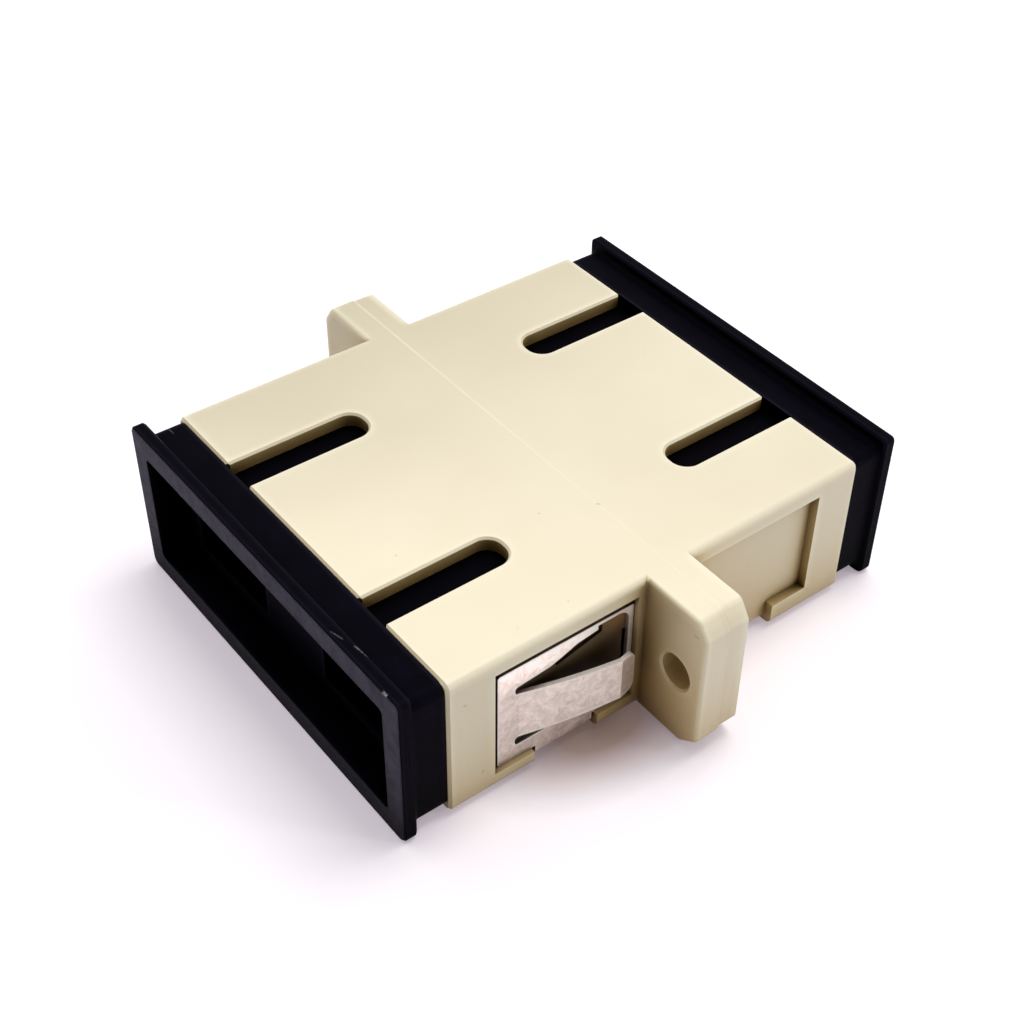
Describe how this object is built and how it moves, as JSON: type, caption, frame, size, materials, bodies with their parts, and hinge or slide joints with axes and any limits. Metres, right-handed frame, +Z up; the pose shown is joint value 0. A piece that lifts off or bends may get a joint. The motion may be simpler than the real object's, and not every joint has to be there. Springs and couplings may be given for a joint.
{
  "type": "fibre optic adapter",
  "caption": "Flanged twin-bay SC fibre adapter with keyed bays, inner latches, split sleeves, a steel spring clip and pull-off dust caps.",
  "frame": {"origin": "under the middle of the adapter, on the plane that the dust cap lips rest on", "axes": "+X across the two bays, +Y along the fibre axis towards the end without the spring clip, +Z up with the key slots on top"},
  "size_m": [0.0344, 0.0328, 0.01],
  "materials": {
    "housing": "satin moulded",
    "latch": "satin moulded",
    "sleeve": "polished phosphor bronze",
    "clip": "satin stamped stainless",
    "cap": "satin moulded"
  },
  "bodies": {
    "adapter": {"front_housing": "housing", "rear_housing": "housing", "left_front_latch": "latch", "left_rear_latch": "latch", "right_front_latch": "latch", "right_rear_latch": "latch", "left_sleeve": "sleeve", "right_sleeve": "sleeve", "spring_clip": "clip"},
    "front_dust_cap": {"front_cap": "cap"},
    "rear_dust_cap": {"rear_cap": "cap"}
  },
  "joints": [
    {"name": "front_cap_pull", "type": "slide", "parent": "adapter", "child": "front_dust_cap", "axis": [0, -1, 0], "range_m": [0, 0.012]},
    {"name": "rear_cap_pull", "type": "slide", "parent": "adapter", "child": "rear_dust_cap", "axis": [0, 1, 0], "range_m": [0, 0.012]}
  ]
}
